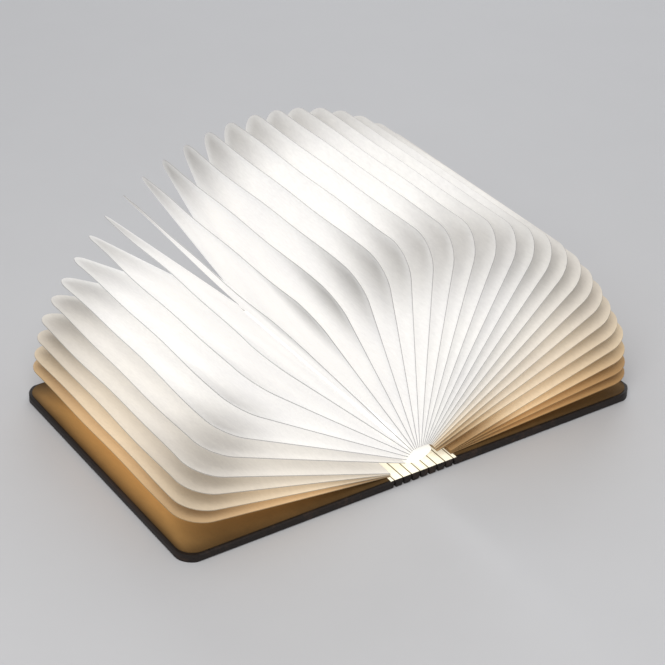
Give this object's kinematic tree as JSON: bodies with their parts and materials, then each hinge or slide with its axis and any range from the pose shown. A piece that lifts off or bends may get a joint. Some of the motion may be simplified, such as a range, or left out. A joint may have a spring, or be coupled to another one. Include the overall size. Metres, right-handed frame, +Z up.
{
  "type": "folding book lamp",
  "caption": "Book-shaped lamp: two boards and a slatted spine that open to a fan of translucent paper leaves lit from a light core.",
  "frame": {"origin": "middle of the underside of the spine, on the surface that the open lamp lies on", "axes": "+X from the spine to the right cover, +Y along the spine away from the front, +Z up"},
  "size_m": [0.1986, 0.122, 0.0968],
  "materials": {
    "cover_board": "satin, very dark brown veneer",
    "lining": "matt",
    "magnet": "plated",
    "leaf_paper": "matt, translucent, lit from inside",
    "core_housing": "matt white",
    "diffuser": "frosted translucent",
    "board_white": "satin",
    "diode": "clear",
    "cell_foil": "matt foil",
    "board_green": "satin",
    "sensor_black": "matt",
    "socket_shell": "plated"
  },
  "bodies": {
    "core": {"slat_4": "cover_board", "core_tray": "core_housing", "core_lens": "diffuser", "front_cap": "core_housing", "rear_cap": "core_housing", "led_board": "board_white", "leds": "diode", "cell": "cell_foil", "charge_board": "board_green", "lid_sensor": "sensor_black", "usb_socket": "socket_shell"},
    "left_cover": {"left_cover": "cover_board", "left_lining": "lining", "left_magnets": "magnet"},
    "right_cover": {"right_cover": "cover_board", "right_lining": "lining", "right_magnets": "magnet"},
    "slat_1": {"slat_1": "cover_board"},
    "slat_2": {"slat_2": "cover_board"},
    "slat_3": {"slat_3": "cover_board"},
    "slat_5": {"slat_5": "cover_board"},
    "slat_6": {"slat_6": "cover_board"},
    "slat_7": {"slat_7": "cover_board"},
    "leaf_01": {"leaf_01": "leaf_paper"},
    "leaf_02": {"leaf_02": "leaf_paper"},
    "leaf_03": {"leaf_03": "leaf_paper"},
    "leaf_04": {"leaf_04": "leaf_paper"},
    "leaf_05": {"leaf_05": "leaf_paper"},
    "leaf_06": {"leaf_06": "leaf_paper"},
    "leaf_07": {"leaf_07": "leaf_paper"},
    "leaf_08": {"leaf_08": "leaf_paper"},
    "leaf_09": {"leaf_09": "leaf_paper"},
    "leaf_10": {"leaf_10": "leaf_paper"},
    "leaf_11": {"leaf_11": "leaf_paper"},
    "leaf_12": {"leaf_12": "leaf_paper"},
    "leaf_13": {"leaf_13": "leaf_paper"},
    "leaf_14": {"leaf_14": "leaf_paper"},
    "leaf_15": {"leaf_15": "leaf_paper"},
    "leaf_16": {"leaf_16": "leaf_paper"},
    "leaf_17": {"leaf_17": "leaf_paper"},
    "leaf_18": {"leaf_18": "leaf_paper"},
    "leaf_19": {"leaf_19": "leaf_paper"},
    "leaf_20": {"leaf_20": "leaf_paper"},
    "leaf_21": {"leaf_21": "leaf_paper"},
    "leaf_22": {"leaf_22": "leaf_paper"},
    "leaf_23": {"leaf_23": "leaf_paper"},
    "leaf_24": {"leaf_24": "leaf_paper"},
    "leaf_25": {"leaf_25": "leaf_paper"},
    "leaf_26": {"leaf_26": "leaf_paper"},
    "leaf_27": {"leaf_27": "leaf_paper"},
    "leaf_28": {"leaf_28": "leaf_paper"},
    "leaf_29": {"leaf_29": "leaf_paper"},
    "leaf_30": {"leaf_30": "leaf_paper"},
    "leaf_31": {"leaf_31": "leaf_paper"},
    "leaf_32": {"leaf_32": "leaf_paper"}
  },
  "joints": [
    {"name": "left_spine_1", "type": "hinge", "parent": "core", "child": "slat_3", "pos_m": [-0.00185, 0, 0.0032], "axis": [0, 1, 0], "range_deg": [-23.4, 22.5]},
    {"name": "left_spine_2", "type": "hinge", "parent": "slat_3", "child": "slat_2", "pos_m": [-0.00555, 0, 0.0032], "axis": [0, 1, 0], "range_deg": [-23.4, 22.5]},
    {"name": "left_spine_3", "type": "hinge", "parent": "slat_2", "child": "slat_1", "pos_m": [-0.00925, 0, 0.0032], "axis": [0, 1, 0], "range_deg": [-23.4, 22.5]},
    {"name": "left_fold", "type": "hinge", "parent": "slat_1", "child": "left_cover", "pos_m": [-0.01295, 0, 0.0032], "axis": [0, 1, 0], "range_deg": [-23.4, 22.5]},
    {"name": "right_spine_1", "type": "hinge", "parent": "core", "child": "slat_5", "pos_m": [0.00185, 0, 0.0032], "axis": [0, -1, 0], "range_deg": [-23.4, 22.5]},
    {"name": "right_spine_2", "type": "hinge", "parent": "slat_5", "child": "slat_6", "pos_m": [0.00555, 0, 0.0032], "axis": [0, -1, 0], "range_deg": [-23.4, 22.5]},
    {"name": "right_spine_3", "type": "hinge", "parent": "slat_6", "child": "slat_7", "pos_m": [0.00925, 0, 0.0032], "axis": [0, -1, 0], "range_deg": [-23.4, 22.5]},
    {"name": "right_fold", "type": "hinge", "parent": "slat_7", "child": "right_cover", "pos_m": [0.01295, 0, 0.0032], "axis": [0, -1, 0], "range_deg": [-23.4, 22.5]},
    {"name": "leaf_01_turn", "type": "hinge", "parent": "left_cover", "child": "leaf_01", "pos_m": [-0.01335, 0, 0.00385], "axis": [0, 1, 0], "range_deg": [-8.18, 8.5]},
    {"name": "leaf_02_turn", "type": "hinge", "parent": "left_cover", "child": "leaf_02", "pos_m": [-0.01335, 0, 0.00425], "axis": [0, 1, 0], "range_deg": [-11.64, 12.11]},
    {"name": "leaf_03_turn", "type": "hinge", "parent": "left_cover", "child": "leaf_03", "pos_m": [-0.01335, 0, 0.00465], "axis": [0, 1, 0], "range_deg": [-15.79, 16.42]},
    {"name": "leaf_04_turn", "type": "hinge", "parent": "left_cover", "child": "leaf_04", "pos_m": [-0.01335, 0, 0.00505], "axis": [0, 1, 0], "range_deg": [-20.57, 21.39]},
    {"name": "leaf_05_turn", "type": "hinge", "parent": "core", "child": "leaf_05", "pos_m": [-0.007, 0, 0.00723], "axis": [0, 1, 0], "range_deg": [-69.9, 67.21]},
    {"name": "leaf_06_turn", "type": "hinge", "parent": "core", "child": "leaf_06", "pos_m": [-0.00639, 0, 0.00849], "axis": [0, 1, 0], "range_deg": [-64.98, 62.48]},
    {"name": "leaf_07_turn", "type": "hinge", "parent": "core", "child": "leaf_07", "pos_m": [-0.00578, 0, 0.0095], "axis": [0, 1, 0], "range_deg": [-59.49, 57.2]},
    {"name": "leaf_08_turn", "type": "hinge", "parent": "core", "child": "leaf_08", "pos_m": [-0.00517, 0, 0.01028], "axis": [0, 1, 0], "range_deg": [-53.55, 51.49]},
    {"name": "leaf_09_turn", "type": "hinge", "parent": "core", "child": "leaf_09", "pos_m": [-0.00457, 0, 0.01087], "axis": [0, 1, 0], "range_deg": [-47.27, 45.45]},
    {"name": "leaf_10_turn", "type": "hinge", "parent": "core", "child": "leaf_10", "pos_m": [-0.00396, 0, 0.0113], "axis": [0, 1, 0], "range_deg": [-40.77, 39.2]},
    {"name": "leaf_11_turn", "type": "hinge", "parent": "core", "child": "leaf_11", "pos_m": [-0.00335, 0, 0.0116], "axis": [0, 1, 0], "range_deg": [-34.14, 32.82]},
    {"name": "leaf_12_turn", "type": "hinge", "parent": "core", "child": "leaf_12", "pos_m": [-0.00274, 0, 0.01179], "axis": [0, 1, 0], "range_deg": [-27.45, 26.4]},
    {"name": "leaf_13_turn", "type": "hinge", "parent": "core", "child": "leaf_13", "pos_m": [-0.00213, 0, 0.0119], "axis": [0, 1, 0], "range_deg": [-20.77, 19.98]},
    {"name": "leaf_14_turn", "type": "hinge", "parent": "core", "child": "leaf_14", "pos_m": [-0.00152, 0, 0.01196], "axis": [0, 1, 0], "range_deg": [-14.12, 13.58]},
    {"name": "leaf_15_turn", "type": "hinge", "parent": "core", "child": "leaf_15", "pos_m": [-0.00091, 0, 0.01198], "axis": [0, 1, 0], "range_deg": [-7.51, 7.22]},
    {"name": "leaf_16_turn", "type": "hinge", "parent": "core", "child": "leaf_16", "pos_m": [-0.0003, 0, 0.01199], "axis": [0, 1, 0], "range_deg": [-0.91, 0.88]},
    {"name": "leaf_17_turn", "type": "hinge", "parent": "core", "child": "leaf_17", "pos_m": [0.0003, 0, 0.01199], "axis": [0, -1, 0], "range_deg": [-5.78, 5.56]},
    {"name": "leaf_18_turn", "type": "hinge", "parent": "core", "child": "leaf_18", "pos_m": [0.00091, 0, 0.01198], "axis": [0, -1, 0], "range_deg": [-12.4, 11.92]},
    {"name": "leaf_19_turn", "type": "hinge", "parent": "core", "child": "leaf_19", "pos_m": [0.00152, 0, 0.01196], "axis": [0, -1, 0], "range_deg": [-19.06, 18.33]},
    {"name": "leaf_20_turn", "type": "hinge", "parent": "core", "child": "leaf_20", "pos_m": [0.00213, 0, 0.0119], "axis": [0, -1, 0], "range_deg": [-25.78, 24.79]},
    {"name": "leaf_21_turn", "type": "hinge", "parent": "core", "child": "leaf_21", "pos_m": [0.00274, 0, 0.01179], "axis": [0, -1, 0], "range_deg": [-32.53, 31.28]},
    {"name": "leaf_22_turn", "type": "hinge", "parent": "core", "child": "leaf_22", "pos_m": [0.00335, 0, 0.0116], "axis": [0, -1, 0], "range_deg": [-39.28, 37.77]},
    {"name": "leaf_23_turn", "type": "hinge", "parent": "core", "child": "leaf_23", "pos_m": [0.00396, 0, 0.0113], "axis": [0, -1, 0], "range_deg": [-45.95, 44.19]},
    {"name": "leaf_24_turn", "type": "hinge", "parent": "core", "child": "leaf_24", "pos_m": [0.00457, 0, 0.01087], "axis": [0, -1, 0], "range_deg": [-52.47, 50.45]},
    {"name": "leaf_25_turn", "type": "hinge", "parent": "core", "child": "leaf_25", "pos_m": [0.00517, 0, 0.01028], "axis": [0, -1, 0], "range_deg": [-58.71, 56.46]},
    {"name": "leaf_26_turn", "type": "hinge", "parent": "core", "child": "leaf_26", "pos_m": [0.00578, 0, 0.0095], "axis": [0, -1, 0], "range_deg": [-64.57, 62.09]},
    {"name": "leaf_27_turn", "type": "hinge", "parent": "core", "child": "leaf_27", "pos_m": [0.00639, 0, 0.00849], "axis": [0, -1, 0], "range_deg": [-69.94, 67.25]},
    {"name": "leaf_28_turn", "type": "hinge", "parent": "core", "child": "leaf_28", "pos_m": [0.007, 0, 0.00723], "axis": [0, -1, 0], "range_deg": [-74.7, 71.83]},
    {"name": "leaf_29_turn", "type": "hinge", "parent": "right_cover", "child": "leaf_29", "pos_m": [0.01335, 0, 0.00505], "axis": [0, -1, 0], "range_deg": [-15.84, 16.47]},
    {"name": "leaf_30_turn", "type": "hinge", "parent": "right_cover", "child": "leaf_30", "pos_m": [0.01335, 0, 0.00465], "axis": [0, -1, 0], "range_deg": [-11.3, 11.75]},
    {"name": "leaf_31_turn", "type": "hinge", "parent": "right_cover", "child": "leaf_31", "pos_m": [0.01335, 0, 0.00425], "axis": [0, -1, 0], "range_deg": [-7.43, 7.73]},
    {"name": "leaf_32_turn", "type": "hinge", "parent": "right_cover", "child": "leaf_32", "pos_m": [0.01335, 0, 0.00385], "axis": [0, -1, 0], "range_deg": [-4.26, 4.43]}
  ],
  "couplings": [
    {"joint": "left_spine_1", "follows": "left_fold", "ratio": 1},
    {"joint": "left_spine_2", "follows": "left_fold", "ratio": 1},
    {"joint": "left_spine_3", "follows": "left_fold", "ratio": 1},
    {"joint": "right_spine_1", "follows": "right_fold", "ratio": 1},
    {"joint": "right_spine_2", "follows": "right_fold", "ratio": 1},
    {"joint": "right_spine_3", "follows": "right_fold", "ratio": 1},
    {"joint": "leaf_01_turn", "follows": "left_fold", "ratio": -0.36114},
    {"joint": "leaf_02_turn", "follows": "left_fold", "ratio": -0.51518},
    {"joint": "leaf_03_turn", "follows": "left_fold", "ratio": -0.69953},
    {"joint": "leaf_04_turn", "follows": "left_fold", "ratio": -0.91191},
    {"joint": "leaf_05_turn", "follows": "left_fold", "ratio": 2.9851},
    {"joint": "leaf_06_turn", "follows": "left_fold", "ratio": 2.7746},
    {"joint": "leaf_07_turn", "follows": "left_fold", "ratio": 2.5401},
    {"joint": "leaf_08_turn", "follows": "left_fold", "ratio": 2.2862},
    {"joint": "leaf_09_turn", "follows": "left_fold", "ratio": 2.018},
    {"joint": "leaf_10_turn", "follows": "left_fold", "ratio": 1.7401},
    {"joint": "leaf_11_turn", "follows": "left_fold", "ratio": 1.4567},
    {"joint": "leaf_12_turn", "follows": "left_fold", "ratio": 1.1711},
    {"joint": "leaf_13_turn", "follows": "left_fold", "ratio": 0.88563},
    {"joint": "leaf_14_turn", "follows": "left_fold", "ratio": 0.60141},
    {"joint": "leaf_15_turn", "follows": "left_fold", "ratio": 0.31869},
    {"joint": "leaf_16_turn", "follows": "left_fold", "ratio": 0.03694},
    {"joint": "leaf_17_turn", "follows": "right_fold", "ratio": 0.24482},
    {"joint": "leaf_18_turn", "follows": "right_fold", "ratio": 0.52773},
    {"joint": "leaf_19_turn", "follows": "right_fold", "ratio": 0.8126},
    {"joint": "leaf_20_turn", "follows": "right_fold", "ratio": 1.0996},
    {"joint": "leaf_21_turn", "follows": "right_fold", "ratio": 1.3882},
    {"joint": "leaf_22_turn", "follows": "right_fold", "ratio": 1.6765},
    {"joint": "leaf_23_turn", "follows": "right_fold", "ratio": 1.9618},
    {"joint": "leaf_24_turn", "follows": "right_fold", "ratio": 2.2401},
    {"joint": "leaf_25_turn", "follows": "right_fold", "ratio": 2.507},
    {"joint": "leaf_26_turn", "follows": "right_fold", "ratio": 2.7574},
    {"joint": "leaf_27_turn", "follows": "right_fold", "ratio": 2.9866},
    {"joint": "leaf_28_turn", "follows": "right_fold", "ratio": 3.1901},
    {"joint": "leaf_29_turn", "follows": "right_fold", "ratio": -0.70158},
    {"joint": "leaf_30_turn", "follows": "right_fold", "ratio": -0.50018},
    {"joint": "leaf_31_turn", "follows": "right_fold", "ratio": -0.32816},
    {"joint": "leaf_32_turn", "follows": "right_fold", "ratio": -0.18733}
  ]
}
